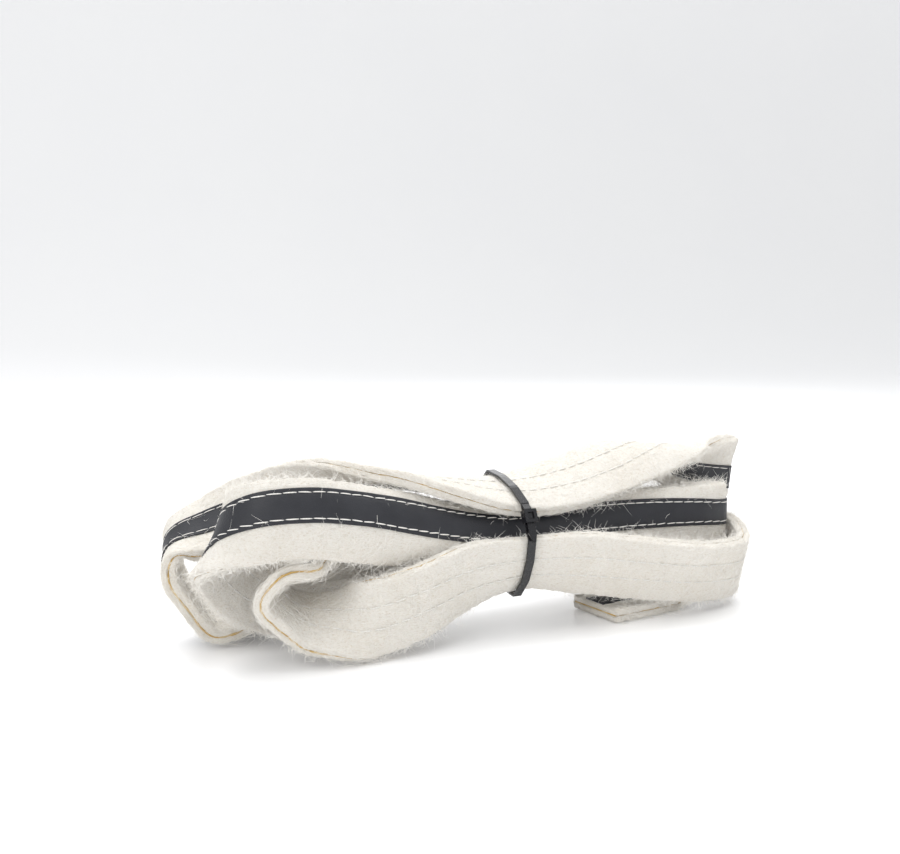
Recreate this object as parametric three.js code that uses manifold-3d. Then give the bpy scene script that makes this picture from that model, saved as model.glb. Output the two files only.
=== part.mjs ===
// A long felt belt folded into a hank of six strands and cinched with a nylon cable tie.
// Millimetres, +Z up, X along the hank, origin under the middle of its box, on the surface it lies on.
import * as THREE from 'three';
import Module from 'manifold-3d';

// ---- belt sizes ----
const BELT_WIDTH = 40;
const FELT_THICK = 3.5;
const CORE_THICK = 0.7;
const STRIPE_WIDTH = 16;
const STRIPE_THICK = 0.7;
const SEAM_INSET = 2.1;
const THREAD_WIDTH = 0.9;
const THREAD_THICK = 0.4;
const LAYER_GAP = 0.3;
const THREAD_GAP = 0.3;

// ---- cable tie sizes ----
const TIE_X = 33;
const TIE_WIDTH = 4.8;
const TIE_THICK = 1.2;
const TIE_CLEAR = 0.5;
const HEAD_WIDTH = 7.6;
const HEAD_DEPTH = 5.4;
const HEAD_LENGTH = 7.4;
const HEAD_OFFSET = 2.4;
const SLOT_CLEAR = 0.35;
const SLOT_FLOOR = 0.5;
const SPLIT_GAP = 0.7;
const ROOT_INSET = 0.15;
const RAMP_LENGTH = 3.4;
const TAIL_LENGTH = 11;
const TIP_LENGTH = 5;
const TIP_WIDTH = 1.9;
const PAWL_LENGTH = 3.2;
const PAWL_WIDTH = 2.8;
const PAWL_THICK = 0.8;
const PAWL_CLEAR = 0.35;

// ---- how finely the strap is faceted ----
const RING_LENGTH = 40;
const RING_TURN = THREE.MathUtils.degToRad(22);
const CORNER_STEPS = 10;

// ---- stack heights, measured from the middle of the glue core toward the stripe ----
const FELT_IN = CORE_THICK / 2 + LAYER_GAP;
const FELT_OUT = FELT_IN + FELT_THICK;
const STRIPE_IN = FELT_OUT + LAYER_GAP;
const STRIPE_OUT = STRIPE_IN + STRIPE_THICK;
const NEEDLE_IN = STRIPE_OUT + THREAD_GAP;
const NEEDLE_OUT = NEEDLE_IN + THREAD_THICK;
const BOBBIN_IN = -FELT_OUT - THREAD_GAP;
const BOBBIN_OUT = BOBBIN_IN - THREAD_THICK;
const SEAM_OFFSET = STRIPE_WIDTH / 2 - SEAM_INSET;

// ---- the route of the hank, one station a row, drawn for a belt of this width and stack ----
// x, y, z: middle of the strap. ux, uy, uz: direction of its first edge. bow: degrees of curl across
// the width, positive with the stripe side convex. shift: how far the stripe sits off the middle,
// toward the first edge. pinch: the share of the width left once the tie has creased it.
const ROUTE_WIDTH = 40;
const ROUTE_STACK = 10.7;
const ROUTE = [
  [209, 19, 80, 0, -0.1, 1, -30, -7, 1],
  [191, 18, 82.5, 0, -0.17, 0.985, -80, -6.5, 1],
  [172, 16, 87.5, 0, -0.5, 0.87, -118, -6, 1],
  [154, 10, 94.5, 0, -0.96, 0.32, -122, -4.5, 1],
  [133, 3, 96, 0, -0.93, -0.3, -85, -2, 1],
  [106, -3, 91.5, 0, -0.82, -0.57, -50, 0, 1],
  [75, -6, 84, 0, -0.85, -0.52, -30, 0, 1],
  [33, -6, 80, 0, -0.95, -0.3, -30, 0, 1],
  [-5, -2.5, 85.5, 0, -1, -0.02, -20, 0, 1],
  [-42, 3, 91.5, 0, -0.93, 0.3, -10, 0, 1],
  [-70, 13, 85.5, 0, -0.45, 0.89, 0, 0, 1],
  [-100, 31, 75, 0.1, 0.25, 0.95, 10, 0, 1],
  [-128, 38, 66, 0.2, 0.75, 0.6, 10, 0, 1],
  [-147, 42, 56, 0.2, 0.9, 0.3, 0, 0, 1],
  [-148, 42, 42, 0.3, 0.95, 0, 0, 0, 1],
  [-138, 42, 24, 0.3, 0.95, 0, 0, 0, 1],
  [-127, 42, 9, 0.2, 0.98, 0, 0, 0, 1],
  [-106, 42, 9.2, 0, 0.95, -0.22, 0, 2, 1],
  [-85, 45, 20, 0, 0.3, -0.95, 0, 4, 1],
  [-55, 42, 22, 0, 0.05, -1, 0, 5, 1],
  [-20, 36, 35, 0, 0, -1, 0, 4, 1],
  [33, 29.4, 50, 0, 0, -1, 0, 2, 1],
  [85, 37, 48, 0, 0, -1, 0, 0, 1],
  [140, 38, 41, 0, 0, -1, 0, 0, 1],
  [179, 27, 35, 0, 0, -1, 0, 0, 1],
  [196, 2, 32, 0, 0.05, -1, 0, 0, 1],
  [182, -26, 27, 0, 0.3, -0.95, 0, 0, 1],
  [150, -36, 28, 0, 0.4, -0.92, 0, -1, 1],
  [110, -33, 33, 0, 0.4, -0.92, -10, -1, 1],
  [70, -28, 39, 0, 0.42, -0.9, -30, -1, 1],
  [33, -25.8, 41.5, 0, 0.45, -0.89, -50, -1, 0.86],
  [0, -28, 39, 0, 0.3, -0.95, -30, -1, 1],
  [-35, -31, 29, 0, 0.1, -1, 0, -1, 1],
  [-58, -28, 23, 0, -0.1, -1, 0, 0, 1],
  [-75, -20, 20, -0.37, -0.67, -0.64, 0, 0, 1],
  [-89, -13, 21, -0.4, -0.82, -0.42, 0, 0, 1],
  [-101, -9, 27.5, -0.53, -0.84, -0.1, 0, 0, 1],
  [-106.5, -8, 36, -0.56, -0.82, 0, 0, 0, 1],
  [-101, -9.8, 44.3, -0.48, -0.85, 0.17, 0, 0, 1],
  [-85, -8.2, 46.7, -0.3, -0.88, 0.3, 0, 0, 1],
  [-60, -2, 57, 0, -0.3, 0.95, 0, 0, 1],
  [-20, 0, 57, 0, 0, 1, 0, 0, 1],
  [33, 6.5, 52, 0, 0, 1, 0, 2, 1],
  [90, 10, 53, 0, 0, 1, 0, 3, 1],
  [140, 8, 52, 0, 0, 1, 0, 3, 1],
  [166, 7, 53, 0, 0, 1, 0, 3, 1],
  [176, 5, 53, 0, 0, 1, 0, 3, 1],
  [181.7, 2.7, 53.5, 0, 0, 1, 0, 3, 1],
  [184, -3, 54, 0, 0, 1, 0, 3, 1],
  [181.7, -8.7, 54.5, 0, 0, 1, 0, 3, 1],
  [176, -11, 55, 0, 0.02, 1, 0, 3, 1],
  [166, -13, 55, 0, 0.05, 1, 10, 4, 1],
  [140, -13, 55, 0, 0.12, 1, 40, 5, 1],
  [100, -13, 56, 0, 0.15, 1, 70, 5, 1],
  [65, -16, 58, 0, 0.3, 0.95, 110, 3, 0.95],
  [33, -17.5, 59, 0, 0.39, 0.92, 130, 0, 0.85],
  [5, -19.5, 60.5, 0, 0.35, 0.93, 115, 3, 0.92],
  [-40, -26, 69, 0, 0.15, 0.99, 100, 6, 1],
  [-68, -30, 75.5, 0, 0.2, 0.98, 80, 6.5, 1],
  [-95, -31.3, 79.9, 0, 0.1, 0.99, 70, 6.5, 1],
  [-118, -27, 79, 0.1, 0.1, 1, 50, 6, 1],
  [-130, -13, 73, 0.35, 0.05, 0.93, 20, 3, 1],
  [-132, 0, 62, 0.5, 0, 0.85, 10, 0, 1],
  [-124, 10, 47, 0.72, 0.1, 0.7, 0, 0, 1],
  [-110, 16, 33, 0.58, 0.2, 0.78, 0, 0, 1],
  [-83, 21.5, 23, 0.2, 0.3, 0.92, 0, 0, 1],
  [-45, 19, 24, 0, 0.4, 0.9, 0, 0, 1],
  [-10, 17, 35, 0, 0.2, 1, 0, 0, 1],
  [33, 17.2, 51, 0, 0, 1, 0, 0, 1],
  [60, 21, 43, 0, 0.05, 1, 0, 0, 1],
  [85, 22, 36, 0, 0.2, 0.97, 0, 0, 1],
  [110, 15, 26, 0, 0.75, 0.66, 0, 0, 1],
  [131, 6, 21, 0, 1, 0.1, 0, 0, 1],
  [145, 4, 20, 0, 1, 0, 0, 0, 1],
  [150.2, 3, 17.9, 0, 1, 0, 0, 0, 1],
  [152.4, 2, 12.8, 0, 1, 0, 0, 0, 1],
  [150.2, 1, 7.7, 0, 1, 0, 0, 0, 1],
  [145, 0, 5.3, 0, 1, 0, 0, 0, 1],
  [134, -2, 4.9, 0, 1, 0, 0, 0, 1],
  [116, -5, 4.9, 0, 1, 0, 0, 0, 1],
  [92, -8, 4.9, 0, 1, 0, 0, 0, 1],
];

// The bundle grows with whichever of width and thickness has grown more, so strands never close up.
const STACK = NEEDLE_OUT - BOBBIN_OUT;
const ROUTE_SCALE = Math.max(BELT_WIDTH / ROUTE_WIDTH, STACK / ROUTE_STACK);

const wasm = await Module();
wasm.setup();

function material(name, color, roughness) {
  const result = new THREE.MeshStandardMaterial({ color, roughness, metalness: 0 });
  result.name = name;
  return result;
}

// ---- the strap's middle line and frames ----

function scaledStation(row) {
  const [x, y, z, ux, uy, uz, bow, shift, pinch] = row;
  const edge = new THREE.Vector3(ux, uy, uz).normalize();
  const k = ROUTE_SCALE;
  return [x * k, y * k, z * k, edge.x, edge.y, edge.z, bow, shift * k, pinch];
}

function chordLengths(stations) {
  const lengths = [0];
  for (let i = 1; i < stations.length; i += 1) {
    const a = stations[i - 1];
    const b = stations[i];
    lengths.push(lengths[i - 1] + Math.hypot(b[0] - a[0], b[1] - a[1], b[2] - a[2]));
  }
  return lengths;
}

// Slope of every value at a station, weighted so that uneven spacing doesn't make the strap bulge.
function slopes(stations, lengths) {
  const count = stations.length;
  const chord = (i) => stations[i].map((v, j) => (stations[i + 1][j] - v) / (lengths[i + 1] - lengths[i]));
  return stations.map((row, i) => {
    if (i === 0) return chord(0);
    if (i === count - 1) return chord(count - 2);
    const before = lengths[i] - lengths[i - 1];
    const after = lengths[i + 1] - lengths[i];
    const into = chord(i - 1);
    const out = chord(i);
    return row.map((_, j) => (into[j] * after + out[j] * before) / (before + after));
  });
}

function blendStations(route, i, s) {
  const h = route.lengths[i + 1] - route.lengths[i];
  const a = 2 * s ** 3 - 3 * s ** 2 + 1;
  const b = (s ** 3 - 2 * s ** 2 + s) * h;
  const c = -2 * s ** 3 + 3 * s ** 2;
  const d = (s ** 3 - s ** 2) * h;
  const p = route.stations;
  const m = route.slopes;
  return p[i].map((v, j) => a * v + b * m[i][j] + c * p[i + 1][j] + d * m[i + 1][j]);
}

function tangentAt(route, i, s) {
  const step = 0.002;
  const before = blendStations(route, i, s - step);
  const after = blendStations(route, i, s + step);
  return new THREE.Vector3(after[0] - before[0], after[1] - before[1], after[2] - before[2]).normalize();
}

// One cross-section: where it is, which way its first edge and its stripe side point, and the
// places across it where the facets meet: its edges, the stripe's edges and the seams.
function ringAt(route, i, s) {
  const row = blendStations(route, i, s);
  const tangent = tangentAt(route, i, s);
  const edge = new THREE.Vector3(row[3], row[4], row[5]);
  edge.addScaledVector(tangent, -edge.dot(tangent)).normalize();
  const side = new THREE.Vector3().crossVectors(edge, tangent);
  const half = BELT_WIDTH / 2;
  const stripe = STRIPE_WIDTH / 2;
  const creases = [-stripe, -SEAM_OFFSET, SEAM_OFFSET, stripe].map((offset) => row[7] + offset);
  return {
    middle: new THREE.Vector3(row[0], row[1], row[2]),
    tangent,
    edge,
    side,
    bow: THREE.MathUtils.degToRad(row[6]),
    shift: row[7],
    pinch: row[8],
    across: [-half, ...creases, half],
  };
}

function strapRings() {
  const stations = ROUTE.map(scaledStation);
  const lengths = chordLengths(stations);
  const route = { stations, lengths, slopes: slopes(stations, lengths) };
  const rings = [];
  for (let i = 0; i < stations.length - 1; i += 1) {
    const from = ringAt(route, i, 0);
    const to = ringAt(route, i, 1);
    const turn = Math.max(from.tangent.angleTo(to.tangent), from.edge.angleTo(to.edge));
    const span = lengths[i + 1] - lengths[i];
    const steps = Math.max(1, Math.round(turn / RING_TURN), Math.ceil(span / (RING_LENGTH * ROUTE_SCALE)));
    for (let k = 0; k < steps; k += 1) rings.push(ringAt(route, i, k / steps));
  }
  rings.push(ringAt(route, stations.length - 2, 1));
  return rings;
}

// A point of the bowed section, at a distance across it and a height above its middle surface.
function curvedPoint(ring, across, height) {
  const bow = Math.abs(ring.bow) < 0.001 ? 0.001 : ring.bow;
  const radius = (BELT_WIDTH * ring.pinch) / bow;
  const angle = (across * ring.pinch) / radius;
  const out = ring.middle.clone();
  out.addScaledVector(ring.edge, (radius + height) * Math.sin(angle));
  out.addScaledVector(ring.side, (radius + height) * Math.cos(angle) - radius);
  return out;
}

// The same point on the facets, so that every layer is parallel to the ones it lies on.
function facetPoint(ring, across, height) {
  let k = 0;
  while (k < ring.across.length - 2 && across > ring.across[k + 1]) k += 1;
  const a = ring.across[k];
  const b = ring.across[k + 1];
  const from = curvedPoint(ring, a, height);
  return from.lerp(curvedPoint(ring, b, height), (across - a) / (b - a));
}

// ---- layers of the strap ----

// A closed solid through all the rings. The outline gives, for a ring, its upper and lower rows of
// [across, height] pairs, equally many of each and both running toward the first edge.
function strapLayer(name, rings, outline, surface) {
  const positions = [];
  const indices = [];
  let size = 0;
  let columns = 0;
  for (const ring of rings) {
    const { upper, lower } = outline(ring);
    const loop = [...upper, ...[...lower].reverse()];
    columns = upper.length;
    size = loop.length;
    for (const [across, height] of loop) positions.push(...facetPoint(ring, across, height).toArray());
  }
  for (let r = 0; r < rings.length - 1; r += 1) {
    for (let c = 0; c < size; c += 1) addQuad(indices, r * size, c, (c + 1) % size, size, c >= columns - 1);
  }
  const last = (rings.length - 1) * size;
  for (let c = 0; c < columns - 1; c += 1) {
    const opposite = size - 1 - c;
    addCap(indices, [c, c + 1, opposite - 1, opposite], false);
    addCap(indices, [last + c, last + c + 1, last + opposite - 1, last + opposite], true);
  }
  return solid(name, positions, indices, surface);
}

// Both faces of a layer are split along the same diagonal, which keeps them parallel where it twists.
function addQuad(indices, start, c, d, size, mirrored) {
  const a = start + c;
  const b = start + d;
  const e = a + size;
  const f = b + size;
  if (mirrored) indices.push(a, b, e, b, f, e);
  else indices.push(a, b, f, a, f, e);
}

function addCap(indices, [a, b, c, d], flipped) {
  const corners = c === b ? [[a, b, d]] : [[a, c, b], [a, d, c]];
  for (const [p, q, r] of corners) {
    if (p === q || q === r || p === r) continue;
    if (flipped) indices.push(p, r, q);
    else indices.push(p, q, r);
  }
}

function solid(name, positions, indices, surface) {
  const geometry = new THREE.BufferGeometry();
  geometry.setAttribute('position', new THREE.Float32BufferAttribute(positions, 3));
  geometry.setIndex(indices);
  geometry.computeVertexNormals();
  const mesh = new THREE.Mesh(geometry, surface);
  mesh.name = name;
  return mesh;
}

function rows(places, high, low) {
  return {
    upper: places.map((across) => [across, high]),
    lower: places.map((across) => [across, low]),
  };
}

function feltLayers(rings) {
  const face = (ring) => rows(ring.across, FELT_OUT, FELT_IN);
  const back = (ring) => rows(ring.across, -FELT_IN, -FELT_OUT);
  return [
    strapLayer('felt_face_layer', rings, face, material('felt_face_layer', '#ece8e0', 0.95)),
    strapLayer('felt_back_layer', rings, back, material('felt_back_layer', '#e4dfd6', 0.95)),
  ];
}

function adhesiveCore(rings) {
  const outline = (ring) => rows(ring.across, CORE_THICK / 2, -CORE_THICK / 2);
  return strapLayer('adhesive_core', rings, outline, material('adhesive_core', '#c99a3c', 0.6));
}

function centreStripe(rings) {
  const outline = (ring) => rows(ring.across.slice(1, -1), STRIPE_OUT, STRIPE_IN);
  return strapLayer('centre_stripe', rings, outline, material('centre_stripe', '#34373f', 0.45));
}

function stitchThread(name, rings, side, near, far) {
  const outline = (ring) => {
    const seam = ring.shift + side * SEAM_OFFSET;
    const places = [seam - THREAD_WIDTH / 2, seam + THREAD_WIDTH / 2];
    return rows(places, Math.max(near, far), Math.min(near, far));
  };
  return strapLayer(name, rings, outline, material(name, '#f4f2ee', 0.8));
}

function stitchThreads(rings) {
  return [
    stitchThread('upper_needle_thread', rings, 1, NEEDLE_IN, NEEDLE_OUT),
    stitchThread('lower_needle_thread', rings, -1, NEEDLE_IN, NEEDLE_OUT),
    stitchThread('upper_bobbin_thread', rings, 1, BOBBIN_IN, BOBBIN_OUT),
    stitchThread('lower_bobbin_thread', rings, -1, BOBBIN_IN, BOBBIN_OUT),
  ];
}

// ---- the cable tie ----

// Where the strands cross the tie, seen along X, as [y, z] points of their outer corners.
function bundlePoints(rings) {
  const points = [];
  const reach = TIE_WIDTH;
  const centre = TIE_X * ROUTE_SCALE;
  const heights = [NEEDLE_OUT, BOBBIN_OUT];
  for (let r = 0; r < rings.length - 1; r += 1) {
    for (const height of heights) {
      for (let k = 0; k < rings[r].across.length; k += 1) {
        const from = facetPoint(rings[r], rings[r].across[k], height);
        const to = facetPoint(rings[r + 1], rings[r + 1].across[k], height);
        for (let s = 0; s <= 1; s += 0.05) {
          const p = from.clone().lerp(to, s);
          if (Math.abs(p.x - centre) < reach) points.push([p.y, p.z]);
        }
      }
    }
  }
  return points;
}

function turns(a, b, c) {
  return (b[0] - a[0]) * (c[1] - a[1]) - (b[1] - a[1]) * (c[0] - a[0]);
}

function halfHull(points) {
  const hull = [];
  for (const p of points) {
    while (hull.length > 1 && turns(hull[hull.length - 2], hull[hull.length - 1], p) <= 0) hull.pop();
    hull.push(p);
  }
  hull.pop();
  return hull;
}

function convexHull(points) {
  const sorted = [...points].sort((a, b) => a[0] - b[0] || a[1] - b[1]);
  return [...halfHull(sorted), ...halfHull(sorted.reverse())];
}

// The hull of the bundle drawn out by a distance, with round corners.
function grownHull(hull, distance) {
  const points = [];
  for (let i = 0; i < hull.length; i += 1) {
    const corner = hull[i];
    const before = hull[(i + hull.length - 1) % hull.length];
    const after = hull[(i + 1) % hull.length];
    const start = Math.atan2(corner[1] - before[1], corner[0] - before[0]) - Math.PI / 2;
    const end = Math.atan2(after[1] - corner[1], after[0] - corner[0]) - Math.PI / 2;
    const sweep = THREE.MathUtils.euclideanModulo(end - start, 2 * Math.PI);
    const steps = Math.max(1, Math.ceil((sweep / Math.PI) * CORNER_STEPS));
    for (let k = 0; k <= steps; k += 1) {
      const angle = start + (sweep * k) / steps;
      points.push([corner[0] + distance * Math.cos(angle), corner[1] + distance * Math.sin(angle)]);
    }
  }
  return points;
}

// Corners nearer together than the strap is thick are dropped, which leaves the band's even run.
function sparseHull(points) {
  const hull = convexHull(points);
  const kept = [];
  for (const p of hull) {
    const last = kept[kept.length - 1];
    if (!last || Math.hypot(p[0] - last[0], p[1] - last[1]) > TIE_THICK) kept.push(p);
  }
  return kept;
}

// The longest straight run on the hank's front carries the head.
function headFrame(hull, distance) {
  let best = null;
  for (let i = 0; i < hull.length; i += 1) {
    const a = hull[i];
    const b = hull[(i + 1) % hull.length];
    const length = Math.hypot(b[0] - a[0], b[1] - a[1]);
    const normal = [(b[1] - a[1]) / length, -(b[0] - a[0]) / length];
    if (normal[0] < -0.5 && (!best || length > best.length)) best = { a, b, length, normal };
  }
  const out = new THREE.Vector3(0, best.normal[0], best.normal[1]);
  const along = new THREE.Vector3(0, best.b[0] - best.a[0], best.b[1] - best.a[1]).normalize();
  if (along.z > 0) along.negate();
  const sideways = new THREE.Vector3().crossVectors(along, out);
  const y = (best.a[0] + best.b[0]) / 2;
  const z = (best.a[1] + best.b[1]) / 2;
  const origin = new THREE.Vector3(TIE_X * ROUTE_SCALE, y, z);
  origin.addScaledVector(out, distance);
  origin.addScaledVector(along, -HEAD_OFFSET);
  return new THREE.Matrix4().makeBasis(along, out, sideways).setPosition(origin);
}

function toManifold(geometry) {
  const flat = geometry.index ? geometry.toNonIndexed() : geometry;
  const vertProperties = new Float32Array(flat.attributes.position.array);
  const triVerts = new Uint32Array(vertProperties.length / 3).map((_, i) => i);
  const mesh = new wasm.Mesh({ numProp: 3, vertProperties, triVerts });
  mesh.merge();
  return new wasm.Manifold(mesh);
}

function toMesh(name, shape, surface) {
  const { vertProperties, triVerts } = shape.getMesh();
  return solid(name, Array.from(vertProperties), Array.from(triVerts), surface);
}

// A prism whose outline is [along, out] pairs of the head's frame, centred across the strap.
function prism(frame, outline, width) {
  const shape = new THREE.Shape(outline.map(([x, y]) => new THREE.Vector2(x, y)));
  const geometry = new THREE.ExtrudeGeometry(shape, { depth: width, bevelEnabled: false });
  geometry.translate(0, 0, -width / 2);
  geometry.applyMatrix4(frame);
  return geometry;
}

function block(frame, [a0, a1], [b0, b1], width) {
  return toManifold(prism(frame, [[a0, b0], [a1, b0], [a1, b1], [a0, b1]], width));
}

// The tail seen from outside, narrowing to its tip, as a cutter as deep as the head.
function tailPlan(frame, end) {
  const half = TIE_WIDTH / 2;
  const start = -HEAD_LENGTH * 2;
  const outline = [
    [start, -half], [end - TIP_LENGTH, -half], [end, -TIP_WIDTH / 2],
    [end, TIP_WIDTH / 2], [end - TIP_LENGTH, half], [start, half],
  ];
  const upright = new THREE.Matrix4().makeRotationX(Math.PI / 2);
  return toManifold(prism(frame.clone().multiply(upright), outline, HEAD_DEPTH * 2));
}

function tieBand(hull) {
  const toShape = (points) => points.map(([y, z]) => new THREE.Vector2(y, z));
  const shape = new THREE.Shape(toShape(grownHull(hull, TIE_CLEAR + TIE_THICK)));
  shape.holes.push(new THREE.Path(toShape(grownHull(hull, TIE_CLEAR))));
  const geometry = new THREE.ExtrudeGeometry(shape, { depth: TIE_WIDTH, bevelEnabled: false });
  const axes = [new THREE.Vector3(0, 1, 0), new THREE.Vector3(0, 0, 1), new THREE.Vector3(1, 0, 0)];
  geometry.applyMatrix4(new THREE.Matrix4().makeBasis(...axes));
  geometry.translate(TIE_X * ROUTE_SCALE - TIE_WIDTH / 2, 0, 0);
  return toManifold(geometry);
}

// The strap leaves its round, climbs to the slot, passes through the head and lies out as a tail.
function tieTail(frame) {
  const low = SLOT_FLOOR + SLOT_CLEAR;
  const high = low + TIE_THICK;
  const foot = -HEAD_LENGTH / 2 - SPLIT_GAP;
  const start = foot - RAMP_LENGTH;
  const end = HEAD_LENGTH / 2 + TAIL_LENGTH;
  const outline = [
    [start, -TIE_THICK + ROOT_INSET], [foot, low], [end, low],
    [end, high], [foot, high], [start, -ROOT_INSET],
  ];
  return toManifold(prism(frame, outline, TIE_WIDTH - 2 * ROOT_INSET)).intersect(tailPlan(frame, end));
}

function tieHead(frame) {
  const half = HEAD_LENGTH / 2;
  const slotTop = SLOT_FLOOR + TIE_THICK + 2 * SLOT_CLEAR;
  const windowHalf = PAWL_LENGTH / 2 + PAWL_CLEAR;
  const body = block(frame, [-half, half], [-TIE_THICK / 2, HEAD_DEPTH - TIE_THICK], HEAD_WIDTH);
  const slot = block(frame, [-half - 1, half + 1], [SLOT_FLOOR, slotTop], TIE_WIDTH + 2 * SLOT_CLEAR);
  const windowWidth = PAWL_WIDTH + 2 * PAWL_CLEAR;
  const opening = block(frame, [-windowHalf, windowHalf], [SLOT_FLOOR + TIE_THICK, HEAD_DEPTH], windowWidth);
  return body.subtract(slot).subtract(opening);
}

function cableTie(hull, frame) {
  const split = [-HEAD_LENGTH / 2 - SPLIT_GAP, -HEAD_LENGTH / 2 + ROOT_INSET];
  const cut = block(frame, split, [-2 * TIE_THICK, SLOT_FLOOR], 2 * TIE_WIDTH);
  const tie = tieBand(hull).subtract(cut).add(tieHead(frame)).add(tieTail(frame));
  return toMesh('cable_tie', tie, material('cable_tie', '#2b2b2e', 0.35));
}

// The pawl's free end is thicker, where its teeth bear on the strap.
function tiePawl(frame) {
  const half = PAWL_LENGTH / 2;
  const low = SLOT_FLOOR + TIE_THICK + 2 * SLOT_CLEAR;
  const high = low + PAWL_THICK;
  const outline = [[-half, low + PAWL_THICK / 4], [half, low], [half, high], [-half, high]];
  const pawl = toManifold(prism(frame, outline, PAWL_WIDTH));
  return toMesh('tie_pawl', pawl, material('tie_pawl', '#2b2b2e', 0.35));
}

// ---- the whole hank ----

function standOnOrigin(group) {
  const box = new THREE.Box3().setFromObject(group);
  const middle = box.getCenter(new THREE.Vector3());
  for (const mesh of group.children) mesh.geometry.translate(-middle.x, -middle.y, -box.min.z);
  return group;
}

function hankedBelt() {
  const rings = strapRings();
  const hull = sparseHull(bundlePoints(rings));
  const frame = headFrame(hull, TIE_CLEAR + TIE_THICK);
  const group = new THREE.Group();
  group.name = 'hanked_belt';
  group.add(...feltLayers(rings), adhesiveCore(rings), centreStripe(rings), ...stitchThreads(rings));
  group.add(cableTie(hull, frame), tiePawl(frame));
  return standOnOrigin(group);
}

export default hankedBelt();
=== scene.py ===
"""A long felt belt in a cinched hank: its felt, leatherette, stitching and nylon tie, on the CAD frame."""

import math

import bpy
import numpy as np
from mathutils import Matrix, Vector


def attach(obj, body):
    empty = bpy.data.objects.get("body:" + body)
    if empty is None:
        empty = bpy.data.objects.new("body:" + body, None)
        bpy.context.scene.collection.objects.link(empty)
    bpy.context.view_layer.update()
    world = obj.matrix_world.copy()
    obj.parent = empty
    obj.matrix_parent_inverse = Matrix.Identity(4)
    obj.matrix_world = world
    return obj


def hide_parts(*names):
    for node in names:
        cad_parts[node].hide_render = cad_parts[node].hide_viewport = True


bl_info = {
    "name": "Hanked felt belt",
    "version": (1, 0, 0),
    "blender": (4, 5, 0),
    "location": "3D View > Sidebar > Belt",
    "description": "Builds a folded felt belt with a sewn stripe and a cable tie",
    "category": "Object",
}

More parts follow.
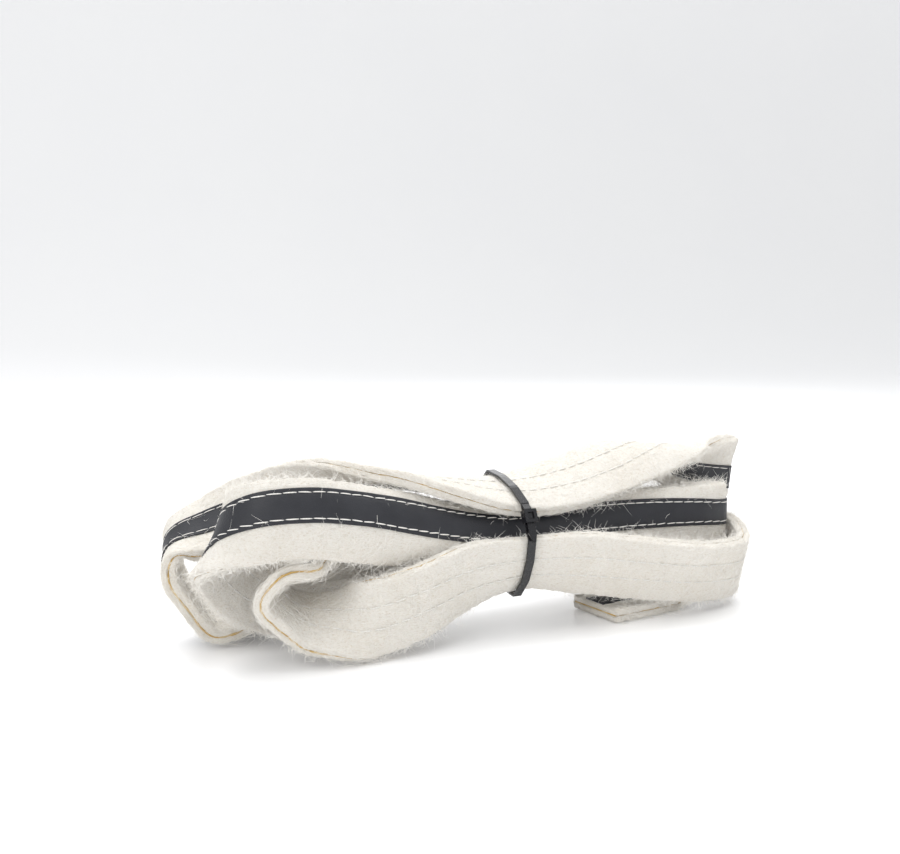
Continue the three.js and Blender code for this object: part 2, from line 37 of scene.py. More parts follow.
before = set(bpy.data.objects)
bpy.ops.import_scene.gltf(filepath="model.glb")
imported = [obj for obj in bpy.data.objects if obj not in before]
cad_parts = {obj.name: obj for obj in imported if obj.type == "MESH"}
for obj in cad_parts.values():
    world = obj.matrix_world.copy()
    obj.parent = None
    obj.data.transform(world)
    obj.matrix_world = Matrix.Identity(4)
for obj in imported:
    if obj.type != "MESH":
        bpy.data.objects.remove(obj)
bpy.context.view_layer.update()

# The route of the hank in millimetres, one station a row, as the CAD part draws it.
# x, y, z: middle of the strap. ux, uy, uz: direction of its first edge. Then the curl across the
# width in degrees, the stripe's shift toward the first edge, and the share of width left by creasing.
ROUTE = np.array([
    [209, 19, 80, 0, -0.1, 1, -30, -7, 1],
    [191, 18, 82.5, 0, -0.17, 0.985, -80, -6.5, 1],
    [172, 16, 87.5, 0, -0.5, 0.87, -118, -6, 1],
    [154, 10, 94.5, 0, -0.96, 0.32, -122, -4.5, 1],
    [133, 3, 96, 0, -0.93, -0.3, -85, -2, 1],
    [106, -3, 91.5, 0, -0.82, -0.57, -50, 0, 1],
    [75, -6, 84, 0, -0.85, -0.52, -30, 0, 1],
    [33, -6, 80, 0, -0.95, -0.3, -30, 0, 1],
    [-5, -2.5, 85.5, 0, -1, -0.02, -20, 0, 1],
    [-42, 3, 91.5, 0, -0.93, 0.3, -10, 0, 1],
    [-70, 13, 85.5, 0, -0.45, 0.89, 0, 0, 1],
    [-100, 31, 75, 0.1, 0.25, 0.95, 10, 0, 1],
    [-128, 38, 66, 0.2, 0.75, 0.6, 10, 0, 1],
    [-147, 42, 56, 0.2, 0.9, 0.3, 0, 0, 1],
    [-148, 42, 42, 0.3, 0.95, 0, 0, 0, 1],
    [-138, 42, 24, 0.3, 0.95, 0, 0, 0, 1],
    [-127, 42, 9, 0.2, 0.98, 0, 0, 0, 1],
    [-106, 42, 9.2, 0, 0.95, -0.22, 0, 2, 1],
    [-85, 45, 20, 0, 0.3, -0.95, 0, 4, 1],
    [-55, 42, 22, 0, 0.05, -1, 0, 5, 1],
    [-20, 36, 35, 0, 0, -1, 0, 4, 1],
    [33, 29.4, 50, 0, 0, -1, 0, 2, 1],
    [85, 37, 48, 0, 0, -1, 0, 0, 1],
    [140, 38, 41, 0, 0, -1, 0, 0, 1],
    [179, 27, 35, 0, 0, -1, 0, 0, 1],
    [196, 2, 32, 0, 0.05, -1, 0, 0, 1],
    [182, -26, 27, 0, 0.3, -0.95, 0, 0, 1],
    [150, -36, 28, 0, 0.4, -0.92, 0, -1, 1],
    [110, -33, 33, 0, 0.4, -0.92, -10, -1, 1],
    [70, -28, 39, 0, 0.42, -0.9, -30, -1, 1],
    [33, -25.8, 41.5, 0, 0.45, -0.89, -50, -1, 0.86],
    [0, -28, 39, 0, 0.3, -0.95, -30, -1, 1],
    [-35, -31, 29, 0, 0.1, -1, 0, -1, 1],
    [-58, -28, 23, 0, -0.1, -1, 0, 0, 1],
    [-75, -20, 20, -0.37, -0.67, -0.64, 0, 0, 1],
    [-89, -13, 21, -0.4, -0.82, -0.42, 0, 0, 1],
    [-101, -9, 27.5, -0.53, -0.84, -0.1, 0, 0, 1],
    [-106.5, -8, 36, -0.56, -0.82, 0, 0, 0, 1],
    [-101, -9.8, 44.3, -0.48, -0.85, 0.17, 0, 0, 1],
    [-85, -8.2, 46.7, -0.3, -0.88, 0.3, 0, 0, 1],
    [-60, -2, 57, 0, -0.3, 0.95, 0, 0, 1],
    [-20, 0, 57, 0, 0, 1, 0, 0, 1],
    [33, 6.5, 52, 0, 0, 1, 0, 2, 1],
    [90, 10, 53, 0, 0, 1, 0, 3, 1],
    [140, 8, 52, 0, 0, 1, 0, 3, 1],
    [166, 7, 53, 0, 0, 1, 0, 3, 1],
    [176, 5, 53, 0, 0, 1, 0, 3, 1],
    [181.7, 2.7, 53.5, 0, 0, 1, 0, 3, 1],
    [184, -3, 54, 0, 0, 1, 0, 3, 1],
    [181.7, -8.7, 54.5, 0, 0, 1, 0, 3, 1],
    [176, -11, 55, 0, 0.02, 1, 0, 3, 1],
    [166, -13, 55, 0, 0.05, 1, 10, 4, 1],
    [140, -13, 55, 0, 0.12, 1, 40, 5, 1],
    [100, -13, 56, 0, 0.15, 1, 70, 5, 1],
    [65, -16, 58, 0, 0.3, 0.95, 110, 3, 0.95],
    [33, -17.5, 59, 0, 0.39, 0.92, 130, 0, 0.85],
    [5, -19.5, 60.5, 0, 0.35, 0.93, 115, 3, 0.92],
    [-40, -26, 69, 0, 0.15, 0.99, 100, 6, 1],
    [-68, -30, 75.5, 0, 0.2, 0.98, 80, 6.5, 1],
    [-95, -31.3, 79.9, 0, 0.1, 0.99, 70, 6.5, 1],
    [-118, -27, 79, 0.1, 0.1, 1, 50, 6, 1],
    [-130, -13, 73, 0.35, 0.05, 0.93, 20, 3, 1],
    [-132, 0, 62, 0.5, 0, 0.85, 10, 0, 1],
    [-124, 10, 47, 0.72, 0.1, 0.7, 0, 0, 1],
    [-110, 16, 33, 0.58, 0.2, 0.78, 0, 0, 1],
    [-83, 21.5, 23, 0.2, 0.3, 0.92, 0, 0, 1],
    [-45, 19, 24, 0, 0.4, 0.9, 0, 0, 1],
    [-10, 17, 35, 0, 0.2, 1, 0, 0, 1],
    [33, 17.2, 51, 0, 0, 1, 0, 0, 1],
    [60, 21, 43, 0, 0.05, 1, 0, 0, 1],
    [85, 22, 36, 0, 0.2, 0.97, 0, 0, 1],
    [110, 15, 26, 0, 0.75, 0.66, 0, 0, 1],
    [131, 6, 21, 0, 1, 0.1, 0, 0, 1],
    [145, 4, 20, 0, 1, 0, 0, 0, 1],
    [150.2, 3, 17.9, 0, 1, 0, 0, 0, 1],
    [152.4, 2, 12.8, 0, 1, 0, 0, 0, 1],
    [150.2, 1, 7.7, 0, 1, 0, 0, 0, 1],
    [145, 0, 5.3, 0, 1, 0, 0, 0, 1],
    [134, -2, 4.9, 0, 1, 0, 0, 0, 1],
    [116, -5, 4.9, 0, 1, 0, 0, 0, 1],
    [92, -8, 4.9, 0, 1, 0, 0, 0, 1],
])
HANK_OFFSET = np.array([-27.0748, -7.5304, -0.0259])

# Heights through the strap in millimetres, from the middle of the glue toward the stripe.
CORE_HALF = 0.5
FELT_IN = 0.45
FELT_OUT = 4.15
STRIPE_IN = 4.0
STRIPE_OUT = 5.05
SEAM_OFFSET = 5.9

# Where the tie stands along X, in mm.
TIE_STATION = 5.9
# Each felt layer: its name, its side of the core, the CAD node it stands for and its fibres' seed.
FELT_LAYERS = (("face", 1, "felt_face_layer", 71), ("back", -1, "felt_back_layer", 72))
# Radius of a loose fibre at its root, in metres, and the share of them rooted along the cut edges.
FIBRE_RADIUS = 0.00010
EDGE_SHARE = 0.42
# Pieces that share the loose fibres of one felt layer.
FUZZ_PIECES = 3
# Stations between which the glue line is bare: the far loop and the front loop.
BARED_STATIONS = ((12, 17), (32, 40))


# ---- settings a user can change ----


class BeltSizes(bpy.types.PropertyGroup):
    width: bpy.props.FloatProperty(
        name="Belt width", description="Width of the felt", default=0.040, unit="LENGTH", subtype="DISTANCE"
    )
    stripe_width: bpy.props.FloatProperty(
        name="Stripe width", description="Width of the leatherette", default=0.016, unit="LENGTH",
        subtype="DISTANCE",
    )
    stitch_pitch: bpy.props.FloatProperty(
        name="Stitch pitch", description="Distance from stitch to stitch", default=0.0068, unit="LENGTH"
    )
    fuzz_count: bpy.props.IntProperty(
        name="Loose fibres", description="Fibres standing proud of each felt layer", default=13200
    )
    fuzz_length: bpy.props.FloatProperty(
        name="Fibre length", description="Mean length of a loose fibre", default=0.0046, unit="LENGTH"
    )


class BeltColours(bpy.types.PropertyGroup):
    felt: bpy.props.FloatVectorProperty(
        name="Felt", description="Colour of the felt", size=3, subtype="COLOR", default=(0.90, 0.865, 0.80)
    )
    felt_dark: bpy.props.FloatVectorProperty(
        name="Felt flecks", description="Darker fibres in the felt", size=3, subtype="COLOR",
        default=(0.66, 0.57, 0.45),
    )
    glue: bpy.props.FloatVectorProperty(
        name="Glue", description="Colour of the glue line", size=3, subtype="COLOR",
        default=(0.52, 0.33, 0.09),
    )
    stripe: bpy.props.FloatVectorProperty(
        name="Stripe", description="Colour of the leatherette", size=3, subtype="COLOR",
        default=(0.013, 0.014, 0.019),
    )
    thread: bpy.props.FloatVectorProperty(
        name="Thread", description="Colour of the thread", size=3, subtype="COLOR", default=(0.86, 0.84, 0.80)
    )
    nylon: bpy.props.FloatVectorProperty(
        name="Nylon", description="Colour of the tie", size=3, subtype="COLOR",
        default=(0.010, 0.010, 0.012),
    )


# ---- shader maths ----


class Wire:
    """A shader socket whose sums and products add Math nodes."""

    def __init__(self, shader, socket):
        self.shader = shader
        self.socket = socket

    def math(self, operation, a, b):
        return self.shader.node("ShaderNodeMath", {"operation": operation}, {0: a, 1: b})

    def __add__(self, other):
        return self.math("ADD", self, other)

    def __radd__(self, other):
        return self.math("ADD", other, self)

    def __sub__(self, other):
        return self.math("SUBTRACT", self, other)

    def __rsub__(self, other):
        return self.math("SUBTRACT", other, self)

    def __mul__(self, other):
        return self.math("MULTIPLY", self, other)

    def __rmul__(self, other):
        return self.math("MULTIPLY", other, self)


class Shader:
    """One material's node tree, with its Principled shader ready."""

    def __init__(self, name):
        self.material = bpy.data.materials.new(name)
        self.material.use_nodes = True
        self.tree = self.material.node_tree
        self.surface = self.tree.nodes["Principled BSDF"]

    def node(self, kind, settings=None, inputs=None, output=0):
        made = self.tree.nodes.new(kind)
        for key, value in (settings or {}).items():
            if key == "stops":
                self.set_stops(made.color_ramp, value)
            else:
                setattr(made, key, value)
        for key, value in (inputs or {}).items():
            self.feed(made.inputs[key], value)
        return Wire(self, made.outputs[output])

    def set_stops(self, ramp, stops):
        for element, (place, grey) in zip(ramp.elements, stops):
            element.position = place
            element.color = (grey, grey, grey, 1)

    def feed(self, socket, value):
        if isinstance(value, Wire):
            self.tree.links.new(value.socket, socket)
        elif hasattr(socket.default_value, "__len__") and len(value) == 3 and len(socket.default_value) == 4:
            socket.default_value = (*value, 1)
        else:
            socket.default_value = value

    def put(self, name, value):
        self.feed(self.surface.inputs[name], value)

    def place(self):
        return self.node("ShaderNodeTexCoord", output="Object")

    def strap_place(self):
        return self.node("ShaderNodeUVMap", {"uv_map": "strap"})

    def stretched(self, place, scale):
        return self.node("ShaderNodeMapping", None, {"Vector": place, "Scale": scale})

    def noise(self, place, scale, detail=3.0, roughness=0.6):
        inputs = {"Vector": place, "Scale": scale, "Detail": detail, "Roughness": roughness}
        return self.node("ShaderNodeTexNoise", None, inputs, "Fac")

    def ramp(self, fac, low, high):
        return self.node("ShaderNodeValToRGB", {"stops": [(low, 0.0), (high, 1.0)]}, {"Fac": fac})

    def mix(self, fac, a, b):
        inputs = {0: fac, 6: a, 7: b}
        return self.node("ShaderNodeMix", {"data_type": "RGBA"}, inputs, 2)

    def bump(self, height, distance, strength=1.0):
        inputs = {"Height": height, "Distance": distance, "Strength": strength}
        return self.node("ShaderNodeBump", None, inputs)


def felt_material(colours, name="cream_felt"):
    """Matted wool: short flecks and lumps over broad, faint yellowing."""
    s = Shader(name)
    place = s.place()
    broad = s.noise(place, 22.0, 2.0)
    fleck = s.ramp(s.noise(s.stretched(place, (1.0, 1.0, 2.6)), 620.0, 4.0, 0.7), 0.50, 0.72)
    lumps = s.noise(place, 300.0, 4.0, 0.65)
    fibres = s.noise(s.stretched(place, (0.5, 1.2, 1.8)), 1500.0, 3.0, 0.7)
    base = s.mix(s.ramp(broad, 0.45, 0.75) * 0.35, tuple(colours.felt), (0.80, 0.73, 0.62))
    s.put("Base Color", s.mix(fleck * 0.70, base, tuple(colours.felt_dark)))
    s.put("Roughness", 0.95)
    s.put("Sheen Weight", 0.25)
    s.put("Specular IOR Level", 0.2)
    nubs = s.noise(place, 130.0, 3.0, 0.6)
    s.put("Normal", s.bump(lumps * 0.8 + fibres * 0.5 + nubs * 0.9, 0.0017, 1.0))
    return s.material


def fibre_material(colours):
    """Loose wool fibres, a little brighter than the felt."""
    s = Shader("loose_fibre")
    tone = s.noise(s.place(), 400.0, 2.0)
    s.put("Base Color", s.mix(tone * 0.5, (0.93, 0.91, 0.87), tuple(colours.felt)))
    s.put("Roughness", 0.85)
    s.put("Specular IOR Level", 0.2)
    return s.material


def glue_material(colours):
    """Dried ochre adhesive with fibres stuck in it, so it breaks from gold to cream."""
    s = Shader("ochre_glue")
    place = s.place()
    patch = s.ramp(s.noise(place, 160.0, 4.0, 0.7), 0.42, 0.66)
    grain = s.noise(place, 900.0, 3.0)
    gold = s.mix(patch * 0.75, tuple(colours.glue), (0.74, 0.64, 0.46))
    s.put("Base Color", gold)
    s.put("Roughness", 0.55 + 0.3 * patch)
    s.put("Normal", s.bump(grain, 0.0006, 0.8))
    return s.material


def leatherette_material(colours):
    """Smooth coated cloth with a fine pebble and dusty, lint-dulled patches."""
    s = Shader("charcoal_leatherette")
    place = s.place()
    pebble = s.node("ShaderNodeTexVoronoi", None, {"Vector": place, "Scale": 1300.0}, "Distance")
    dust = s.ramp(s.noise(place, 55.0, 5.0, 0.65), 0.45, 0.80)
    lint = s.ramp(s.noise(s.stretched(place, (0.4, 1.0, 2.2)), 900.0, 3.0, 0.7), 0.62, 0.80)
    base = s.mix(dust * 0.30, tuple(colours.stripe), (0.045, 0.047, 0.056))
    s.put("Base Color", s.mix(lint * 0.10, base, (0.20, 0.19, 0.18)))
    s.put("Roughness", 0.46 + 0.20 * dust)
    s.put("Normal", s.bump(pebble, 0.00025, 0.5))
    return s.material


def thread_material(colours):
    """Twisted white sewing thread, its plies slanting along each stitch."""
    s = Shader("white_thread")
    ply = s.node("ShaderNodeTexWave", {"bands_direction": "DIAGONAL"},
                 {"Vector": s.strap_place(), "Scale": 420.0, "Distortion": 1.0}, "Fac")
    s.put("Base Color", s.mix(ply * 0.35, tuple(colours.thread), (0.66, 0.62, 0.56)))
    s.put("Roughness", 0.7)
    s.put("Sheen Weight", 0.2)
    s.put("Normal", s.bump(ply, 0.0002, 0.6))
    return s.material


def nylon_material(colours):
    """Moulded black nylon, satin, with faint flow marks and scuffs."""
    s = Shader("black_nylon")
    place = s.place()
    scuff = s.ramp(s.noise(place, 700.0, 4.0, 0.7), 0.55, 0.78)
    flow = s.noise(s.stretched(place, (3.0, 0.6, 0.6)), 500.0, 2.0)
    s.put("Base Color", s.mix(scuff * 0.25, tuple(colours.nylon), (0.045, 0.045, 0.05)))
    s.put("Roughness", 0.26 + 0.22 * scuff)
    s.put("Normal", s.bump(flow, 0.00012, 0.4))
    return s.material


def backdrop_material():
    """White coated board, slightly glossy, so the hank is faintly mirrored in it."""
    s = Shader("white_board")
    smear = s.noise(s.place(), 3.0, 2.0)
    s.put("Base Color", s.mix(smear, (0.90, 0.90, 0.91), (0.93, 0.93, 0.93)))
    s.put("Roughness", 0.28 + 0.10 * smear)
    s.put("Specular IOR Level", 0.35)
    s.put("Emission Color", (1.0, 1.0, 1.0))
    s.put("Emission Strength", 0.10)
    return s.material


# ---- the strap ----


def station_values(t):
    """Every station value at the lengths t: a cubic through the stations whose slope at each is the
    mean of the chords before and after, each weighted by the other's length."""
    rows = ROUTE.copy()
    rows[:, 3:6] /= np.linalg.norm(rows[:, 3:6], axis=1)[:, None]
    chord = np.linalg.norm(np.diff(rows[:, :3], axis=0), axis=1)
    knots = np.concatenate([[0.0], np.cumsum(chord)])
    slope = np.diff(rows, axis=0) / chord[:, None]
    before, after = chord[:-1, None], chord[1:, None]
    inner = (slope[:-1] * after + slope[1:] * before) / (before + after)
    slopes = np.vstack([slope[:1], inner, slope[-1:]])
    i = np.clip(np.searchsorted(knots, t, side="right") - 1, 0, len(knots) - 2)
    span = chord[i]
    s = (t - knots[i]) / span
    a, c = 2 * s**3 - 3 * s**2 + 1, -2 * s**3 + 3 * s**2
    b, d = (s**3 - 2 * s**2 + s) * span, (s**3 - s**2) * span
    mixed = a[:, None] * rows[i] + b[:, None] * slopes[i]
    mixed = mixed + c[:, None] * rows[i + 1] + d[:, None] * slopes[i + 1]
    return mixed, knots[-1]


def strap_frames(t):
    """Middle, edge direction, stripe direction, curl, shift and creasing at the lengths t."""
    flat = np.ravel(t)
    end = station_values(np.zeros(1))[1]
    values, _ = station_values(flat)
    ahead, _ = station_values(np.minimum(flat + 0.05, end))
    behind, _ = station_values(np.maximum(flat - 0.05, 0.0))
    tangent = ahead[:, :3] - behind[:, :3]
    tangent /= np.linalg.norm(tangent, axis=1)[:, None]
    edge = values[:, 3:6] - (values[:, 3:6] * tangent).sum(1)[:, None] * tangent
    edge /= np.linalg.norm(edge, axis=1)[:, None]
    side = np.cross(edge, tangent)
    shape = np.shape(t)
    parts = [values[:, :3], edge, side]
    parts = [p.reshape(*shape, 3) for p in parts]
    rest = [values[:, k].reshape(shape) for k in (6, 7, 8)]
    return (*parts, np.radians(rest[0]), rest[1], rest[2])


def strap_points(t, across, height, width):
    """Points of the bowed strap in metres. The section is an arc whose radius is the creased width
    over the curl; a point lies at its angle round that arc, and its height is added to the radius."""
    middle, edge, side, bow, _, pinch = strap_frames(t)
    bow = np.where(np.abs(bow) < 1e-3, 1e-3, bow)
    radius = width * pinch / bow
    angle = across * pinch / radius
    along = (radius + height) * np.sin(angle)
    out = (radius + height) * np.cos(angle) - radius
    points = middle + edge * along[..., None] + side * out[..., None]
    return (points + HANK_OFFSET) / 1000.0


def station_length(k):
    """Length along the route at station k, as the sum of the chords before it."""
    return float(np.linalg.norm(np.diff(ROUTE[:k + 1, :3], axis=0), axis=1).sum())


def strap_shift(t):
    return strap_frames(t)[4]


def strap_length():
    return station_values(np.zeros(1))[1]


def waves(u, v, seed, count, short, long):
    """Smooth noise of unit spread: a sum of plane waves of random direction, length and phase."""
    rng = np.random.default_rng(seed)
    turn = rng.uniform(0, 2 * np.pi, count)
    size = 2 * np.pi / rng.uniform(short, long, count)
    phase = rng.uniform(0, 2 * np.pi, count)
    total = np.zeros(np.broadcast(u, v).shape)
    for k in range(count):
        total += np.sin(size[k] * (u * np.cos(turn[k]) + v * np.sin(turn[k])) + phase[k])
    return total / math.sqrt(count / 2)


def grid_faces(rows, columns):
    """Quads of a tube whose rings are closed, with one many-sided face at each end."""
    r = np.arange(rows - 1)[:, None]
    c = np.arange(columns)[None, :]
    n = (c + 1) % columns
    quads = np.stack([r * columns + c, r * columns + n, (r + 1) * columns + n, (r + 1) * columns + c], -1)
    first = list(range(columns))[::-1]
    last = [(rows - 1) * columns + k for k in range(columns)]
    return quads.reshape(-1, 4), [first, last]


def make_piece(name, points, faces, material, uv=None, smooth=True):
    mesh = bpy.data.meshes.new(name)
    mesh.from_pydata(points.reshape(-1, 3).tolist(), [], faces)
    if uv is not None:
        layer = mesh.uv_layers.new(name="strap")
        index = np.empty(len(mesh.loops), dtype=np.int32)
        mesh.loops.foreach_get("vertex_index", index)
        layer.data.foreach_set("uv", uv.reshape(-1, 2)[index].ravel())
    mesh.polygons.foreach_set("use_smooth", np.full(len(mesh.polygons), smooth))
    mesh.materials.append(material)
    mesh.update()
    piece = bpy.data.objects.new(name, mesh)
    bpy.context.scene.collection.objects.link(piece)
    return piece


def outward(points, rows, columns):
    """True when the ring order of a tube makes its faces point outward, from the sign of its volume."""
    quads, _ = grid_faces(rows, columns)
    p = points.reshape(-1, 3)
    a, b, c, d = (p[quads[:, k]] for k in range(4))
    volume = (a * np.cross(b, c)).sum() + (a * np.cross(c, d)).sum()
    return volume > 0


def tube_piece(name, points, material, uv):
    rows, columns = points.shape[:2]
    if not outward(points, rows, columns):
        points = points[:, ::-1]
        uv = uv[:, ::-1]
    quads, caps = grid_faces(rows, columns)
    return make_piece(name, points, quads.tolist() + caps, material, uv)


def ring_outline(half, low, high, corner, count, inner=None):
    """A flat bar's outline with round corners, evenly stepped across: [across, height] pairs. The
    lower corners may have a smaller radius of their own."""
    small = corner if inner is None else inner
    flat = np.linspace(-half + corner, half - corner, count)
    turn = np.linspace(0, np.pi / 2, 4)[1:-1]
    top = np.stack([flat, np.full(count, high)], 1)
    end_top = np.stack([half - corner + corner * np.sin(turn), high - corner + corner * np.cos(turn)], 1)
    side = np.array([[half, high - corner], [half, (high + low) / 2], [half, low + small]])
    end_low = np.stack([half - small + small * np.cos(turn), low + small - small * np.sin(turn)], 1)
    right = np.vstack([end_top, side, end_low])
    left = right[::-1] * [-1, 1]
    return np.vstack([top, right, top[::-1] * [1, 0] + [0, low], left])


def felt_layer(name, sign, width, material):
    """One felt layer: a round-cornered bar swept along the strap, its skin raised and sunk by two
    sizes of smooth noise so that it looks matted, most at its cut edges."""
    t = np.linspace(0, strap_length(), 1150)
    outline = ring_outline(width / 2, FELT_IN, FELT_OUT, 1.3, 26, 0.35)
    across = np.repeat(outline[None, :, 0], len(t), 0)
    height = np.repeat(outline[None, :, 1], len(t), 0)
    length = np.repeat(t[:, None], len(outline), 1)
    ragged = np.clip(np.abs(across) / (width / 2), 0, 1) ** 12
    seed = 11 if sign > 0 else 12
    lumps = 0.13 * waves(length, across + 3 * height, seed, 26, 5.0, 16.0)
    fine = 0.07 * waves(length, across + 3 * height, seed + 2, 26, 2.2, 4.5)
    outer = np.clip((height - FELT_IN) / (FELT_OUT - FELT_IN), 0, 1)
    seam = np.abs(np.abs(across - strap_shift(t)[:, None]) - SEAM_OFFSET)
    pull = 0.30 * np.exp(-((seam / 0.9) ** 2)) if sign < 0 else 0.0
    height = height + (lumps + fine - pull) * outer
    across = across + np.sign(across) * ragged * (0.22 * waves(length, height * 2, seed + 5, 20, 3.0, 11.0))
    closed = (1 - bared(length)) * (height < 1.6) * np.clip((np.abs(across) - width / 2 + 1.2) / 1.2, 0, 1)
    height = height - 0.42 * closed
    points = strap_points(length, across, sign * height, width)
    uv = np.stack([length / 1000, across / 1000], -1)
    return tube_piece(name, points, material, uv)


def bared(t):
    """How far the glue shows at the cut edges: 1 round the two open loops, where the bend draws the
    fibres apart, falling to 0.25 elsewhere along a smooth step."""
    shown = np.zeros(np.shape(t))
    for first, last in BARED_STATIONS:
        start, end = station_length(first), station_length(last)
        shown = np.maximum(shown, np.clip(1 - np.maximum(start - t, t - end) / 40.0, 0, 1))
    return 0.25 + 0.75 * shown**2 * (3 - 2 * shown)


def glue_core(width, material):
    """The glue line: a thin bar between the layers, ragged where it reaches their cut edges."""
    t = np.linspace(0, strap_length(), 1150)
    outline = ring_outline(width / 2, -CORE_HALF, CORE_HALF, 0.3, 12)
    across = np.repeat(outline[None, :, 0], len(t), 0)
    height = np.repeat(outline[None, :, 1], len(t), 0)
    length = np.repeat(t[:, None], len(outline), 1)
    edge = (np.abs(across) > width / 2 - 0.6).astype(float)
    wander = waves(length, 0 * length, 31, 24, 4.0, 24.0)
    reach = 0.12 + 0.20 * wander - 1.1 * (1 - bared(length))
    across = across + np.sign(across) * edge * reach
    height = height * (1.0 + 0.25 * edge * waves(length, 40 + across, 33, 20, 3.0, 12.0))
    points = strap_points(length, across, height, width)
    return tube_piece("glue_line", points, material, np.stack([length / 1000, across / 1000], -1))


def stripe_strip(width, stripe_width, material):
    """The leatherette: a thin bar on the face, dipped a little along both seams."""
    t = np.linspace(0, strap_length(), 1150)
    outline = ring_outline(stripe_width / 2, STRIPE_IN, STRIPE_OUT, 0.32, 24)
    local = np.repeat(outline[None, :, 0], len(t), 0)
    height = np.repeat(outline[None, :, 1], len(t), 0)
    length = np.repeat(t[:, None], len(outline), 1)
    seam = np.abs(np.abs(local) - SEAM_OFFSET)
    dip = 0.28 * np.exp(-((seam / 0.8) ** 2)) * (0.8 + 0.2 * waves(length, local, 41, 12, 5.0, 8.0))
    ripple = 0.05 * waves(length, local, 43, 16, 9.0, 30.0)
    height = height + (height > (STRIPE_IN + STRIPE_OUT) / 2) * (ripple - dip)
    across = local + strap_shift(t)[:, None] + 0.12 * waves(length, 0 * local, 44, 14, 30.0, 90.0)
    points = strap_points(length, across, height, width)
    return tube_piece("stripe_leatherette", points, material, np.stack([length / 1000, across / 1000], -1))


def stitch_row(name, side, face, pitch, width, material):
    """A row of stitches: each a short lozenge whose girth swells as a half circle from end to end,
    and whose ends dive into the cloth."""
    total = strap_length()
    count = int((total - 6) / pitch)
    centre = 3 + pitch * (np.arange(count) + 0.5)
    rng = np.random.default_rng(60 + 3 * side + face)
    centre = centre + rng.normal(0, 0.12, count)
    along = np.array([-1.0, -0.86, -0.5, 0.0, 0.5, 0.86, 1.0])
    around = np.linspace(0, 2 * np.pi, 7)[:-1]
    span = (0.92 if face > 0 else 0.80) * pitch / 2
    girth = np.sqrt(np.clip(1 - along**2, 0.02, 1)) ** 0.6
    radius = 0.29 if face > 0 else 0.42
    length = centre[:, None, None] + span * along[None, :, None] + 0 * around
    slant = rng.normal(0, 0.10, count)[:, None, None] * along[None, :, None]
    base = strap_shift(centre)[:, None, None] + side * SEAM_OFFSET
    across = base + slant + radius * girth[None, :, None] * np.cos(around)
    level = (STRIPE_OUT - 0.06) if face > 0 else (FELT_OUT + 0.16)
    arch = level + 0.16 * (1 - 1.9 * along**4)[None, :, None]
    height = face * (arch + 0.75 * radius * girth[None, :, None] * np.sin(around))
    points = strap_points(length, across + 0 * height, height, width)
    uv = np.stack([length / 1000 + 0 * height, across / 1000 + 0 * height], -1)
    rows, columns = len(along), len(around)
    if not outward(points[0] - points[0].mean((0, 1)), rows, columns):
        points, uv = points[:, :, ::-1], uv[:, :, ::-1]
    quads, caps = grid_faces(rows, columns)
    shift = (np.arange(count) * rows * columns)[:, None, None]
    faces = (quads[None] + shift).reshape(-1, 4).tolist()
    faces += (np.array(caps)[None] + shift).reshape(-1, columns).tolist()
    return make_piece(name, points, faces, material, uv)


def pressed(t, width):
    """The chance that a fibre rooted at t is cut short: 0.8 in the tie's plane, falling as a bell of
    55 mm with the distance from it along X."""
    middle = strap_points(t, 0 * t, 0 * t, width)[:, 0] * 1000
    return 0.8 * np.exp(-(((middle - TIE_STATION) / 55.0) ** 2))


